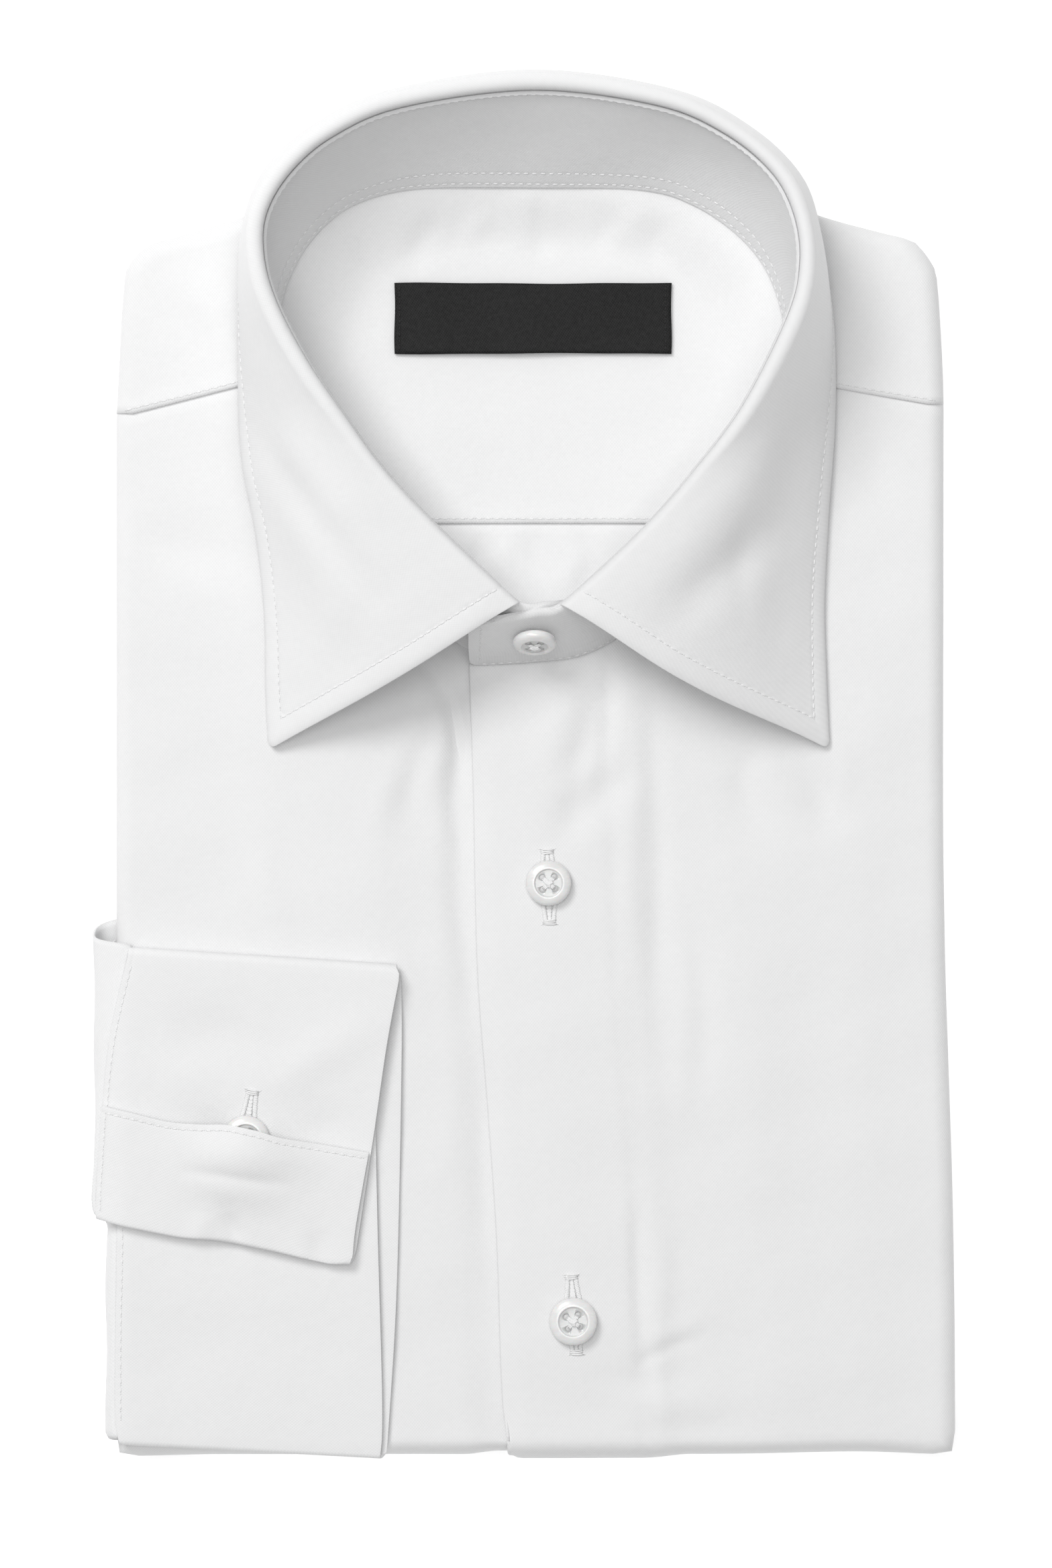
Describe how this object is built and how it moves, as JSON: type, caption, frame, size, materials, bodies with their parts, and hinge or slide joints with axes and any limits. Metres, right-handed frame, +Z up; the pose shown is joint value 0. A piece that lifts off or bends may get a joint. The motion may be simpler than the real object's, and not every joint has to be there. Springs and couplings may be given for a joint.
{
  "type": "folded dress shirt",
  "caption": "Long-sleeved button-front dress shirt, buttoned and folded flat, with a standing turned-down collar and one cuff laid on its front.",
  "frame": {"origin": "middle of the flat underside of the folded shirt's bounding box", "axes": "+X towards the wearer's left, +Y from the lower fold to the collar, +Z up from the surface that it lies on"},
  "size_m": [0.2152, 0.3454, 0.0558],
  "materials": {
    "shirt_cloth": "fine woven cotton, matt white",
    "button_pearl": "pearly, glossy off-white",
    "label_satin": "black satin weave, bare"
  },
  "bodies": {
    "root": {"folded_layers": "shirt_cloth", "front_right": "shirt_cloth", "front_left": "shirt_cloth", "yoke": "shirt_cloth", "back_panel": "shirt_cloth", "collar_stand": "shirt_cloth", "collar_leaf": "shirt_cloth", "sleeve": "shirt_cloth", "cuff": "shirt_cloth", "neck_label": "label_satin", "collar_button": "button_pearl", "front_button_1": "button_pearl", "front_button_2": "button_pearl", "cuff_button": "button_pearl"}
  },
  "joints": []
}
